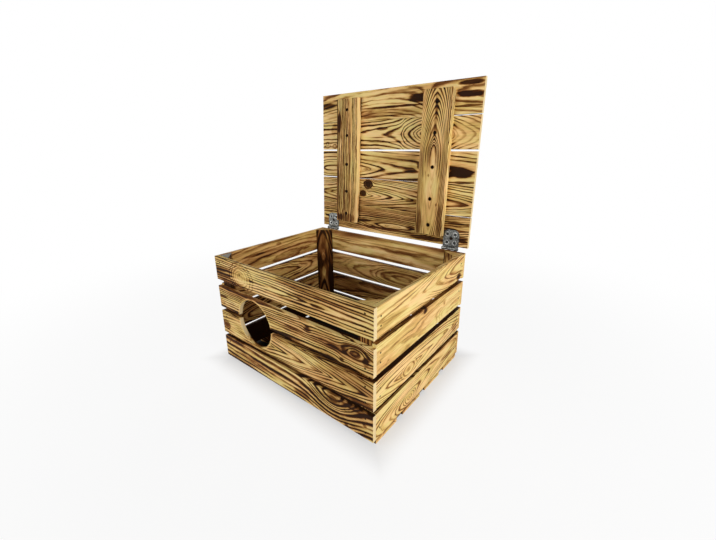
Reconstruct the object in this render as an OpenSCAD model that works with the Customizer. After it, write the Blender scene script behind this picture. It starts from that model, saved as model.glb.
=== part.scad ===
// Slatted wooden box with a hinged lid and a round hole in its front wall.
// Right is +X, back is +Y, up is +Z. The origin is on the surface that the
// box stands on, under the middle of the crate. The lid is drawn open.

/* [Crate] */
// Outside width of the crate, left to right
crate_w = 500; // [420:1:700]
// Outside depth of the crate, front to back
crate_d = 400; // [360:1:600]
// Height of the walls above the bottom boards
wall_h = 290; // [286:1:320]
// Widths of the front wall's slats, from the lowest up
front_slat_ws = [62, 64, 60, 63]; // [58:0.5:68]
// Widths of the back wall's slats
back_slat_ws = [67, 62, 65.5, 66]; // [58:0.5:68]
// Widths of the left wall's slats
left_slat_ws = [63, 66, 66.5, 67.5]; // [58:0.5:68]
// Widths of the right wall's slats
right_slat_ws = [62.5, 63, 64.5, 63.5]; // [58:0.5:68]
// Thickness of one wall slat
slat_t = 10; // [8:0.5:14]
// Gaps over the lowest and the second slat of the front wall
front_gaps = [11.5, 11.5]; // [7:0.5:14]
// The same gaps of the back wall
back_gaps = [9.5, 9.5]; // [7:0.5:14]
// The same gaps of the left wall
left_gaps = [8.5, 9]; // [7:0.5:14]
// The same gaps of the right wall
right_gaps = [11.5, 13.5]; // [7:0.5:14]
// Radius of the eased long edges of every board
edge_r = 0.8; // [0.3:0.1:2]

/* [Corner posts] */
// Leg of a triangular corner post along its walls
post_leg = 35; // [30:0.5:45]
// Leg of the two back posts along the back wall
back_post_leg = 45; // [30:0.5:48]
// Width of the flat that blunts each sharp edge of a post
post_blunt = 3; // [1:0.5:6]

/* [Bottom] */
// Gap between two bottom boards
bottom_gap = 24; // [10:0.5:40]
// Thickness of one bottom board
bottom_t = 10; // [8:0.5:16]

/* [Front hole] */
// Diameter of the round hole in the front wall
hole_d = 124; // [80:1:126]
// From the left end of the front wall to the middle of the hole
hole_from_left = 143.5; // [115:0.5:300]
// From the middle of the gap that the hole cuts down to the middle of the hole
hole_drop = 1.75; // [0:0.25:3]

/* [Lid] */
// Gaps between the lid boards, from the hinges up
lid_gaps = [2.5, 3, 4.5, 2.5]; // [1:0.25:8]
// Thickness of one lid board
lid_t = 10; // [8:0.5:16]
// How far the lid's back edge lies in from the crate's back face
lid_setback = 2; // [1:0.5:4]
// How far the closed lid stands out past the front wall
lid_front_lip = 2; // [0:0.5:12]
// How far the lid stands out past each side wall
lid_side_lip = 0; // [-4:0.5:8]
// Angle between the closed and the open lid
open_angle = 92.5; // [90:0.5:100]

/* [Lid battens] */
// Width of a batten
batten_w = 77; // [50:0.5:80]
// Thickness of a batten
batten_t = 18; // [12:0.5:22]
// From the left hinge to the left batten
batten_left_gap = 6.5; // [0.5:0.5:40]
// From the right hinge to the right batten
batten_right_gap = 0.5; // [0.5:0.5:40]
// From the lid's back edge to the battens
batten_back_in = 25; // [20:0.5:50]
// From the battens' front ends to the inside of the front wall
batten_front_gap = 6; // [3:0.5:30]

/* [Hinges] */
// From the lid's end to the middle of a hinge
hinge_in = 45; // [30:0.5:60]
// Width of a hinge
leaf_w = 43; // [38:0.5:48]
// Reach of a leaf past the edge of its board
leaf_reach = 43; // [38:0.5:46]
// Thickness of a leaf
leaf_t = 1.5; // [1:0.1:2]
// Corner radius at the free end of a leaf
leaf_corner_r = 13; // [4:0.5:17]
// Outside diameter of a hinge barrel
barrel_d = 8; // [7:0.1:9]
// Diameter of a hinge pin
pin_d = 4; // [3:0.1:4.4]
// Diameter of a pin's riveted end
pin_head_d = 6; // [5.2:0.1:6.8]
// Thickness of a pin's riveted end
pin_head_t = 0.8; // [0.4:0.1:1.5]
// Play between a pin and its barrel, all round
pin_play = 0.05; // [0.02:0.01:0.1]
// Side play between neighbouring knuckles
knuckle_play = 0.3; // [0.2:0.05:0.6]
// Running gap around a barrel
barrel_play = 0.3; // [0.2:0.05:0.6]
// Height of the hinge axis above the rim of the crate
axis_rise = 3.5; // [3:0.1:5]
// Diameter of the open hole in the middle of a leaf
leaf_hole_d = 6.5; // [4:0.5:8]
// Thickness of the lug that stops the open lid
stop_t = 1.4; // [1:0.1:1.8]

/* [Screws and nails] */
// Sideways distance between a leaf's screws
leaf_screw_dx = 21; // [19:0.5:24]
// Distance between a leaf's two rows of screws
leaf_screw_dy = 22; // [18:0.5:24]
// From the board's edge to the leaf's near row of screws
leaf_screw_in = 9; // [8:0.5:11]
// Thread diameter of a leaf screw
leaf_screw_d = 3; // [2.5:0.1:3.4]
// Head diameter of a leaf screw
leaf_screw_head_d = 6; // [5:0.1:7]
// How far a leaf screw goes into the wood
leaf_screw_bite = 7.5; // [5:0.5:7.5]
// Thread diameter of a batten screw
batten_screw_d = 3.5; // [3:0.1:4]
// Head diameter of a batten screw
batten_screw_head_d = 7; // [6:0.1:8]
// How far a batten screw goes into the lid board
batten_screw_bite = 7; // [5:0.5:7.5]
// Diameter of a nail
nail_d = 2; // [1.2:0.1:2.5]
// Head diameter of a nail
nail_head_d = 4; // [3:0.1:5]
// Thickness of a nail's head
nail_head_t = 0.8; // [0.5:0.1:1.2]
// How far a nail goes in past the board that it holds
nail_bite = 10; // [6:0.5:12]
// From the end of a front or back slat to its nails
nail_in = 19; // [17:0.5:22]
// From a front slat's long edges to its nails
nail_edge = 14; // [8:0.5:18]
// From a side slat's long edges to its nails
side_nail_edge = 22; // [20:0.5:24]
// Distance between the two nails at one end of a bottom board
bottom_nail_dy = 40; // [20:1:50]
// Play between a fastener and the wood, all round
bore_play = 0.05; // [0.02:0.01:0.1]

/* [Hidden] */
$fn = 48;

pine = "#c99a52";
scorched = "#a87438";
zinc = "#a9adb0";
dark_steel = "#3b3330";

// Every wall has four slats, the bottom four boards and the lid five.
wall_slats = 4;
bottom_boards = 4;
lid_boards = 5;
knuckles = 5;

// Crate
half_w = crate_w / 2;
half_d = crate_d / 2;
in_w = half_w - slat_t;
in_d = half_d - slat_t;
rim_z = bottom_t + wall_h;
front_wall = [front_slat_ws, front_gaps];
back_wall = [back_slat_ws, back_gaps];
left_wall = [left_slat_ws, left_gaps];
right_wall = [right_slat_ws, right_gaps];
hole_x = hole_from_left - half_w;
bottom_w = (2 * in_d - (bottom_boards - 1) * bottom_gap) / bottom_boards;
hole_margin = 5; // how far the hole's cutter runs past the front wall

// Hinge axis: the box leaf lies on the back face, level with the barrel's side.
barrel_r = barrel_d / 2;
axis_y = half_d + barrel_r;
axis_z = rim_z + axis_rise;
edge_to_axis = barrel_r + lid_setback; // from the lid's back edge to the axis

// Lid, drawn closed: u runs forward from the axis and h up from the axis.
lid_h = barrel_r;
lid_l = crate_d - lid_setback + lid_front_lip;
lid_w = crate_w + 2 * lid_side_lip;
lid_board_w = (lid_l - lid_gap_sum(lid_boards - 1)) / lid_boards;
hinge_x = lid_w / 2 - hinge_in;
batten_u0 = edge_to_axis + batten_back_in;
batten_u1 = axis_y + in_d - batten_front_gap;
batten_l = batten_u1 - batten_u0;
batten_left_x = -hinge_x + leaf_w / 2 + batten_left_gap + batten_w / 2;
batten_right_x = hinge_x - leaf_w / 2 - batten_right_gap - batten_w / 2;

// Hinge leaf: the plate starts where the other leaf's knuckles still clear it.
plate_u0 = sqrt(pow(barrel_r + barrel_play, 2) - pow(barrel_r - leaf_t, 2)) + barrel_play;
knuckle_l = (leaf_w - (knuckles - 1) * knuckle_play) / knuckles;

// Stop lug: it stands behind the open lid leaf and under the open lid's edge.
open_tilt = open_angle - 90;
stop_y = barrel_r * cos(open_tilt) + edge_to_axis * sin(open_tilt) + barrel_play;
stop_top = (edge_to_axis - (stop_y + stop_t) * sin(open_tilt)) / cos(open_tilt) - barrel_play;
stop_foot = barrel_r / 2; // how far the lug's root reaches below the axis

// Fasteners
nail_l = slat_t + nail_bite;
bottom_nail_l = bottom_t + nail_bite;
side_nail_in = slat_t + nail_bite + nail_d * 1.25; // past the front nails' points
batten_screw_l = batten_t + batten_screw_bite;
leaf_screw_l = leaf_t + leaf_screw_bite;
recess_w = 0.9;    // width of one arm of a screw's cross recess
recess_share = 0.6; // length of the recess against the head

// Width of a slat in a wall, and its lower edge
function slat_w(i, wall) = wall[0][i];
function slat_z(i, wall) =
    i == 0 ? bottom_t :
    i == wall_slats - 1 ? rim_z - slat_w(i, wall) :
    slat_z(i - 1, wall) + slat_w(i - 1, wall) + wall[1][i - 1];

// Middle of the round hole
hole_z = (slat_z(1, front_wall) + slat_w(1, front_wall) + slat_z(2, front_wall)) / 2 - hole_drop;

// Middle of a bottom board, from front to back
function bottom_y(i) = -in_d + bottom_w / 2 + i * (bottom_w + bottom_gap);

// All the gaps behind a lid board, added up
function lid_gap_sum(i) = i <= 0 ? 0 : lid_gaps[i - 1] + lid_gap_sum(i - 1);

// Back edge of a lid board, forward from the axis
function lid_u(i) = edge_to_axis + i * lid_board_w + lid_gap_sum(i);

// Where a batten's screw enters a board: the middle of what the batten covers
function screw_u(i) = (max(lid_u(i), batten_u0) + min(lid_u(i) + lid_board_w, batten_u1)) / 2;

// Rounded bar, l along X from 0, with its section from the origin
module board_x(l, w, t) {
    rotate([90, 0, 90]) linear_extrude(l) eased(w, t);
}

// The same along Y from 0, with its section in +X and +Z
module board_y(l, w, t) {
    translate([0, l, 0]) rotate([90, 0, 0]) linear_extrude(l) eased(w, t);
}

// Rectangle whose corners are eased
module eased(w, t) {
    translate([edge_r, 0]) square([w - 2 * edge_r, t]);
    translate([0, edge_r]) square([w, t - 2 * edge_r]);
    for (x = [edge_r, w - edge_r], y = [edge_r, t - edge_r])
        translate([x, y]) circle(r = edge_r);
}

// Nail with its head at z = 0 and its shank down -Z. With play it is the cutter
// of its own hole, which runs on past the surface of the wood.
module nail(l, play = 0) {
    translate([0, 0, -l - play]) cylinder(d = nail_d + 2 * play, h = l + play);
    translate([0, 0, -nail_head_t - play])
        cylinder(d = nail_head_d + 2 * play, h = nail_head_t + play + past(play));
}

// How far a cutter runs past a surface; a piece itself ends there
function past(play) = play > 0 ? 1 : 0;

// Countersunk screw with its head at z = 0 and its thread down -Z, or its cutter
module screw(d, head_d, l, play = 0) {
    head_h = (head_d - d) / 2;
    translate([0, 0, -l - play]) cylinder(d = d + 2 * play, h = l + play);
    translate([0, 0, -head_h - play])
        cylinder(d1 = d + 2 * play, d2 = head_d + 2 * play, h = head_h);
    if (play > 0) translate([0, 0, -play]) cylinder(d = head_d + 2 * play, h = play + past(play));
}

// The same screw with a cross recess in its head
module cross_screw(d, head_d, l) {
    depth = (head_d - d) / 3;
    difference() {
        screw(d, head_d, l);
        for (a = [0, 90]) rotate(a)
            translate([-head_d * recess_share / 2, -recess_w / 2, -depth])
                cube([head_d * recess_share, recess_w, depth + 1]);
    }
}

// Turns a child that points down -Z so that it points into a wall
module into_front() { translate([0, -half_d, 0]) rotate([90, 0, 0]) children(); }
module into_back() { translate([0, half_d, 0]) rotate([-90, 0, 0]) children(); }
module into_left() { translate([-half_w, 0, 0]) rotate([0, -90, 0]) children(); }
module into_right() { translate([half_w, 0, 0]) rotate([0, 90, 0]) children(); }

// Children at each nail of a front or back slat
module long_slat_nails(i, wall) {
    z = slat_z(i, wall);
    for (x = [-half_w + nail_in, half_w - nail_in], dz = [nail_edge, slat_w(i, wall) - nail_edge])
        translate([x, 0, z + dz]) children();
}

// Children at each nail of a side slat
module side_slat_nails(i, wall) {
    z = slat_z(i, wall);
    for (y = [-half_d + side_nail_in, half_d - side_nail_in],
         dz = [side_nail_edge, slat_w(i, wall) - side_nail_edge])
        translate([0, y, z + dz]) children();
}

// Children at each nail of a bottom board, pointing up into the side slats
module bottom_board_nails(i) {
    for (x = [-half_w + slat_t / 2, half_w - slat_t / 2], dy = [-0.5, 0.5] * bottom_nail_dy)
        translate([x, bottom_y(i) + dy, 0]) rotate([180, 0, 0]) children();
}

// Children at each screw of one hinge leaf, turned to point into the wood (+Z)
module leaf_screw_places() {
    for (x = [-0.5, 0.5] * leaf_screw_dx, y = [leaf_screw_in, leaf_screw_in + leaf_screw_dy])
        translate([x, y, 0]) rotate([180, 0, 0]) children();
}

// Opens the lid, whose pieces are drawn closed with the hinge axis through 0
module on_lid() {
    translate([0, axis_y, axis_z]) rotate([-open_angle, 0, 0]) children();
}

// Free side of a lid leaf: Y runs in from the lid's edge and Z into the lid
module on_lid_leaf(x) {
    translate([x, -edge_to_axis, lid_h - leaf_t]) rotate([0, 0, 180]) children();
}

// Free side of a box leaf: Y runs down from the rim and Z into the back wall
module on_box_leaf(x) {
    translate([x, half_d + leaf_t, rim_z]) rotate([-90, 0, 180]) children();
}

module front_slat(i) {
    color(i % 2 == 0 ? pine : scorched) difference() {
        translate([-half_w, -half_d, slat_z(i, front_wall)])
            board_x(crate_w, slat_t, slat_w(i, front_wall));
        long_slat_nails(i, front_wall) into_front() nail(nail_l, bore_play);
        translate([hole_x, -half_d - hole_margin, hole_z]) rotate([-90, 0, 0])
            cylinder(d = hole_d, h = slat_t + 2 * hole_margin, $fn = 96);
    }
}

module back_slat(i) {
    color(i % 2 == 0 ? scorched : pine) difference() {
        translate([-half_w, in_d, slat_z(i, back_wall)])
            board_x(crate_w, slat_t, slat_w(i, back_wall));
        long_slat_nails(i, back_wall) into_back() nail(nail_l, bore_play);
        if (i == wall_slats - 1)
            for (s = [-1, 1]) on_box_leaf(s * hinge_x) leaf_screw_places()
                screw(leaf_screw_d, leaf_screw_head_d, leaf_screw_l, bore_play);
    }
}

module left_slat(i) {
    color(i % 2 == 0 ? pine : scorched) difference() {
        translate([-half_w, -in_d, slat_z(i, left_wall)])
            board_y(2 * in_d, slat_t, slat_w(i, left_wall));
        side_slat_nails(i, left_wall) into_left() nail(nail_l, bore_play);
        if (i == 0) all_bottom_nails(bore_play);
    }
}

module right_slat(i) {
    color(i % 2 == 0 ? scorched : pine) difference() {
        translate([in_w, -in_d, slat_z(i, right_wall)])
            board_y(2 * in_d, slat_t, slat_w(i, right_wall));
        side_slat_nails(i, right_wall) into_right() nail(nail_l, bore_play);
        if (i == 0) all_bottom_nails(bore_play);
    }
}

module all_bottom_nails(play = 0) {
    for (i = [0:bottom_boards - 1]) bottom_board_nails(i) nail(bottom_nail_l, play);
}

// Triangular post in the corner given by the signs of its X and Y
module corner_post(sx, sy) {
    x = sx * ((sy < 0 ? post_leg : back_post_leg) - post_blunt);
    y = sy * (post_leg - post_blunt);
    color(scorched) difference() {
        translate([sx * in_w, sy * in_d, bottom_t]) linear_extrude(wall_h)
            polygon([[0, 0], [-x, 0], [-x, -sy * post_blunt], [-sx * post_blunt, -y], [0, -y]]);
        for (i = [0:wall_slats - 1]) {
            if (sy < 0) long_slat_nails(i, front_wall) into_front() nail(nail_l, bore_play);
            else long_slat_nails(i, back_wall) into_back() nail(nail_l, bore_play);
            if (sx < 0) side_slat_nails(i, left_wall) into_left() nail(nail_l, bore_play);
            else side_slat_nails(i, right_wall) into_right() nail(nail_l, bore_play);
        }
    }
}

module bottom_board(i) {
    color(pine) difference() {
        translate([-half_w, bottom_y(i) - bottom_w / 2, 0]) board_x(crate_w, bottom_w, bottom_t);
        bottom_board_nails(i) nail(bottom_nail_l, bore_play);
    }
}

module lid_board(i) {
    color(i % 2 == 0 ? pine : scorched) on_lid() difference() {
        translate([-lid_w / 2, -lid_u(i) - lid_board_w, lid_h]) board_x(lid_w, lid_board_w, lid_t);
        batten_screw_places(i) screw(batten_screw_d, batten_screw_head_d, batten_screw_l, bore_play);
        if (i == 0)
            for (s = [-1, 1]) on_lid_leaf(s * hinge_x) leaf_screw_places()
                screw(leaf_screw_d, leaf_screw_head_d, leaf_screw_l, bore_play);
    }
}

// Children at the two screws that hold board i, pointing up into the lid
module batten_screw_places(i) {
    for (x = [batten_left_x, batten_right_x])
        translate([x, -screw_u(i), lid_h - batten_t]) rotate([180, 0, 0]) children();
}

module lid_batten(x) {
    color(scorched) on_lid() difference() {
        translate([x - batten_w / 2, -batten_u1, lid_h - batten_t]) board_y(batten_l, batten_w, batten_t);
        for (i = [0:lid_boards - 1]) batten_screw_places(i)
            screw(batten_screw_d, batten_screw_head_d, batten_screw_l, bore_play);
    }
}

// Outline of a leaf's plate, whose free end is l from the axis
module leaf_outline(l) {
    r = leaf_corner_r;
    translate([-leaf_w / 2, plate_u0]) square([leaf_w, l - r - plate_u0]);
    translate([r - leaf_w / 2, plate_u0]) square([leaf_w - 2 * r, l - plate_u0]);
    for (x = [r - leaf_w / 2, leaf_w / 2 - r]) translate([x, l - r]) circle(r = r, $fn = 64);
}

// Left end of a knuckle across the hinge
function knuckle_x(k) = -leaf_w / 2 + k * (knuckle_l + knuckle_play);

// Leaf along Y from the axis. Its outer face is level with the barrel's top (+Z).
// edge is where its board's edge lies, and first its first knuckle from the left.
module leaf(edge, first) {
    difference() {
        union() {
            translate([0, 0, barrel_r - leaf_t]) linear_extrude(leaf_t) leaf_outline(edge + leaf_reach);
            for (k = [first:2:knuckles - 1]) translate([knuckle_x(k), 0, 0]) {
                rotate([0, 90, 0]) cylinder(r = barrel_r, h = knuckle_l);
                translate([0, 0, barrel_r - leaf_t]) cube([knuckle_l, plate_u0 + leaf_t, leaf_t]);
            }
            children();
        }
        translate([-leaf_w, 0, 0]) rotate([0, 90, 0])
            cylinder(d = pin_d + 2 * pin_play, h = 2 * leaf_w);
        translate([0, edge + leaf_screw_in + leaf_screw_dy / 2, 0]) cylinder(d = leaf_hole_d, h = barrel_d);
        translate([0, edge, barrel_r - leaf_t]) leaf_screw_places()
            screw(leaf_screw_d, leaf_screw_head_d, leaf_screw_l, bore_play);
    }
}

// Lug that the open lid leaf leans on, on the middle knuckle of a box leaf
module stop_lug() {
    translate([knuckle_x(2), -stop_top, -stop_y - stop_t]) {
        cube([knuckle_l, stop_top + stop_foot, stop_t]);
        translate([0, stop_top, 0]) cube([knuckle_l, stop_foot, stop_y + stop_t]);
    }
}

module lid_leaf(x) {
    color(zinc) on_lid() translate([x, 0, 0]) rotate([0, 0, 180]) leaf(edge_to_axis, 1);
}

module box_leaf(x) {
    color(zinc) translate([x, axis_y, axis_z]) rotate([-90, 0, 180]) leaf(axis_rise, 0) stop_lug();
}

module hinge_pin(x) {
    l = leaf_w + 2 * barrel_play;
    color(zinc) translate([x - l / 2, axis_y, axis_z]) rotate([0, 90, 0]) {
        cylinder(d = pin_d, h = l);
        for (z = [-pin_head_t, l]) translate([0, 0, z]) cylinder(d = pin_head_d, h = pin_head_t);
    }
}

module lid_leaf_screws() {
    color(zinc) on_lid() for (s = [-1, 1]) on_lid_leaf(s * hinge_x) leaf_screw_places()
        cross_screw(leaf_screw_d, leaf_screw_head_d, leaf_screw_l);
}

module box_leaf_screws() {
    color(zinc) for (s = [-1, 1]) on_box_leaf(s * hinge_x) leaf_screw_places()
        cross_screw(leaf_screw_d, leaf_screw_head_d, leaf_screw_l);
}

module batten_screws() {
    color(dark_steel) on_lid() for (i = [0:lid_boards - 1]) batten_screw_places(i)
        cross_screw(batten_screw_d, batten_screw_head_d, batten_screw_l);
}

module front_nails() {
    color(dark_steel) for (i = [0:wall_slats - 1]) long_slat_nails(i, front_wall) into_front() nail(nail_l);
}

module back_nails() {
    color(dark_steel) for (i = [0:wall_slats - 1]) long_slat_nails(i, back_wall) into_back() nail(nail_l);
}

module left_nails() {
    color(dark_steel) for (i = [0:wall_slats - 1]) side_slat_nails(i, left_wall) into_left() nail(nail_l);
}

module right_nails() {
    color(dark_steel) for (i = [0:wall_slats - 1]) side_slat_nails(i, right_wall) into_right() nail(nail_l);
}

module bottom_nails() {
    color(dark_steel) all_bottom_nails();
}

front_slat(0);  // front_slat_1
front_slat(1);  // front_slat_2
front_slat(2);  // front_slat_3
front_slat(3);  // front_slat_4
back_slat(0);  // back_slat_1
back_slat(1);  // back_slat_2
back_slat(2);  // back_slat_3
back_slat(3);  // back_slat_4
left_slat(0);  // left_slat_1
left_slat(1);  // left_slat_2
left_slat(2);  // left_slat_3
left_slat(3);  // left_slat_4
right_slat(0);  // right_slat_1
right_slat(1);  // right_slat_2
right_slat(2);  // right_slat_3
right_slat(3);  // right_slat_4
corner_post(-1, -1);  // corner_post_front_left
corner_post(1, -1);  // corner_post_front_right
corner_post(-1, 1);  // corner_post_back_left
corner_post(1, 1);  // corner_post_back_right
bottom_board(0);  // bottom_board_1
bottom_board(1);  // bottom_board_2
bottom_board(2);  // bottom_board_3
bottom_board(3);  // bottom_board_4
lid_board(0);  // lid_board_1
lid_board(1);  // lid_board_2
lid_board(2);  // lid_board_3
lid_board(3);  // lid_board_4
lid_board(4);  // lid_board_5
lid_batten(batten_left_x);  // lid_batten_left
lid_batten(batten_right_x);  // lid_batten_right
lid_leaf(-hinge_x);  // hinge_left_lid_leaf
box_leaf(-hinge_x);  // hinge_left_box_leaf
hinge_pin(-hinge_x);  // hinge_left_pin
lid_leaf(hinge_x);  // hinge_right_lid_leaf
box_leaf(hinge_x);  // hinge_right_box_leaf
hinge_pin(hinge_x);  // hinge_right_pin
lid_leaf_screws();
box_leaf_screws();
batten_screws();
front_nails();
back_nails();
left_nails();
right_nails();
bottom_nails();
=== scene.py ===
# Slatted crate of flamed pine boards with a hinged lid, in metres, in the frame of its CAD model.
import math

import bmesh
import bpy
from mathutils import Matrix, Vector


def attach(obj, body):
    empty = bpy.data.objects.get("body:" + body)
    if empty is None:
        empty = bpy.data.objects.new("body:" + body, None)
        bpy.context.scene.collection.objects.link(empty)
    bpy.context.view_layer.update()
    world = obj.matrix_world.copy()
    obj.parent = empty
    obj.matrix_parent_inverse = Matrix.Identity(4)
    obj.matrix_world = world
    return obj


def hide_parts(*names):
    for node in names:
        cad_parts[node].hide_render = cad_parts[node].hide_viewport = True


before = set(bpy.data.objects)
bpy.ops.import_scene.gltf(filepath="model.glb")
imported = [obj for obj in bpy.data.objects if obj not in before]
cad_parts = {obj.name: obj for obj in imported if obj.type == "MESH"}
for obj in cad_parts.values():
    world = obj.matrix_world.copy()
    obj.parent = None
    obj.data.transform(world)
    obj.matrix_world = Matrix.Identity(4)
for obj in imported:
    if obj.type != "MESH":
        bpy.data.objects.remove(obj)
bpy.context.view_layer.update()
print("frame loaded")


# Camera: where the photograph was taken from. The angles are turns about X, Y and Z in degrees.
camera = {
    "place": (0.56233, -0.63913, 0.56728), "angles": (71.878, 0.701, 38.815),
    "lens": 17.584, "sensor": 36, "shift": (0.00675, -0.01621), "seesFrom": 0.02, "seesTo": 60,
}


def placeCamera(c):
    lens = bpy.data.cameras.new("camera")
    lens.lens, lens.sensor_width = c["lens"], c["sensor"]
    lens.shift_x, lens.shift_y = c["shift"]
    lens.clip_start, lens.clip_end = c["seesFrom"], c["seesTo"]
    stand = bpy.data.objects.new("camera", lens)
    stand.location = c["place"]
    stand.rotation_euler = [math.radians(a) for a in c["angles"]]
    bpy.context.scene.collection.objects.link(stand)
    bpy.context.scene.camera = stand


placeCamera(camera)
print("camera placed")


# Shader maths: a Wire is a node's output, and a sum of wires adds its Math nodes.
class Wire:
    def __init__(self, tree, socket):
        self.tree, self.socket = tree, socket

    def calc(self, operation, *others, clamp=False):
        settings = {"operation": operation, "use_clamp": clamp}
        return self.tree.node("ShaderNodeMath", settings, dict(enumerate((self, *others))))

    def __add__(self, other):
        return self.calc("ADD", other)

    def __sub__(self, other):
        return self.calc("SUBTRACT", other)

    def __mul__(self, other):
        return self.calc("MULTIPLY", other)

    def __truediv__(self, other):
        return self.calc("DIVIDE", other)

    def __pow__(self, other):
        return self.calc("POWER", other)

    def __rsub__(self, other):
        return self.calc("MULTIPLY_ADD", -1.0, other)

    __radd__, __rmul__ = __add__, __mul__

    def clamped(self):
        return self.calc("ADD", 0.0, clamp=True)

    def smooth(self, low, high):  # 0 below low, 1 above high
        sockets = {"Value": self, "From Min": low, "From Max": high}
        return self.tree.node("ShaderNodeMapRange", {"interpolation_type": "SMOOTHSTEP"}, sockets)

    def parts(self):  # a vector's three numbers
        split = self.tree.node("ShaderNodeSeparateXYZ", {}, {"Vector": self})
        return [Wire(self.tree, socket) for socket in split.socket.node.outputs]

    def stretched(self, sizes, shift=(0, 0, 0)):  # a vector counted in steps of the given sizes
        sockets = {0: self, 1: [1 / size for size in sizes], 2: shift}
        return self.tree.node("ShaderNodeVectorMath", {"operation": "MULTIPLY_ADD"}, sockets)


class Tree:
    def __init__(self, owner):  # a material or a world
        self.owner = owner
        owner.use_nodes = True
        owner.node_tree.nodes.clear()

    def node(self, kind, settings, sockets, output=0):
        made = self.owner.node_tree.nodes.new(kind)
        for key, value in settings.items():
            if key == "stops":
                self.setStops(made.color_ramp, value)
            elif key == "bends":
                self.setBends(made.mapping, value)
            else:
                setattr(made, key, value)
        for key, value in sockets.items():
            if isinstance(value, Wire):
                self.owner.node_tree.links.new(value.socket, made.inputs[key])
            else:
                made.inputs[key].default_value = value
        return Wire(self, made.outputs[output]) if made.outputs else None

    def source(self, kind, output):  # one output of a node that takes nothing in
        return self.node(kind, {}, {}, output)

    def seenRays(self):  # 1 for what the camera sees, straight or in a mirror or through glass
        seen = self.source("ShaderNodeLightPath", "Is Camera Ray")
        for kind in ("Glossy", "Transmission"):
            seen = seen.calc("MAXIMUM", self.source("ShaderNodeLightPath", f"Is {kind} Ray"))
        return seen

    def setStops(self, ramp, stops):
        while len(ramp.elements) < len(stops):
            ramp.elements.new(0.5)
        for element, (at, colour) in zip(ramp.elements, stops):
            element.position, element.color = at, (*colour, 1)

    def setBends(self, mapping, bends):
        curve = mapping.curves[0]
        while len(curve.points) < len(bends):
            curve.points.new(0.5, 0.5)
        for point, place in zip(curve.points, bends):
            point.location = place
        mapping.update()

    def noise(self, vector, detail=2.0, roughness=0.5):
        sockets = {"Vector": vector, "Scale": 1.0, "Detail": detail, "Roughness": roughness}
        return self.node("ShaderNodeTexNoise", {}, sockets)

    def blend(self, amount, first, second, kind="MIX"):
        settings = {"data_type": "RGBA", "blend_type": kind}
        return self.node("ShaderNodeMix", settings, {0: amount, 6: first, 7: second}, 2)

    def finish(self, shader, kind="Material"):
        self.node(f"ShaderNodeOutput{kind}", {}, {"Surface": shader})
        return self.owner


def newMaterial(name):
    return Tree(bpy.data.materials.new(name))


def fromScreen(*colour):  # screen values from 0 to 255, as the light that they stand for
    return tuple(c / 255 / 12.92 if c <= 10 else ((c / 255 + 0.055) / 1.055) ** 2.4 for c in colour)


# Every board has its own frame, in millimetres: x along the grain from its end, y across, z out of its shown face.
def boardFrame(corner, along, across):
    turn = Matrix((along, across, Vector(along).cross(Vector(across)))).transposed()
    return {"corner": [c / 1000 for c in corner], "turn": tuple(turn.to_euler())}


# Flamed pine. A board is cut from a log whose heart runs below its shown face, so its growth rings
# draw arches where the heart comes nearer. A board's keys are these, with lengths in millimetres:
#   low: its lower edge above the floor, or on the lid above the hinges' axis; seed: which pattern of noise
#   heart: (along, depth below the face, across); ring: width of a growth ring; wave: how uneven the rings are
#   knots: (along, across, radius, reach, rings that it pushes up, darkness)
#   scorch: (along, across, half length, half width, amount), where a minus leaves the wood pale
#   eyes: (along, across, reach, ring width, stretch along the board) where the rings close round a branch
#   plain: (along, across, half length, half width, amount) where the rings fade
#   loops: (along, across, radius, stretch, line width, darkness) of a closed ring round a branch
#   paintedShade: painted shade, extra brown on the shown face and on the hidden one where they face the crate's
#       inside, and a minus paints them paler as painted light
#   char: how far the whole board went brown; line: how dark its rings are; wash: how cloudy the brown is
#   edge: how much darker its narrow edges are, partly char and partly painted shade in the gaps between slats, and
#       a minus paints lit edges paler; cap: colour of the sawn ends
#   point: 2 draws round arches and 1 pointed ones; thin: how much narrower the dark lines are
#   hole: (along, across, radius) of a sawn hole, whose rim was sanded pale
usualBoard = {
    "seed": 1, "ring": 6.0, "wave": 1.0, "char": 0.0, "line": 1.0, "thin": 1.0, "point": 2.0, "wash": 1.0,
    "edge": 0.45, "cap": None, "hole": None, "paintedShade": (0.0, 0.0),
    "eyes": [], "knots": [], "loops": [], "plain": [], "scorch": [],
}
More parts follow.
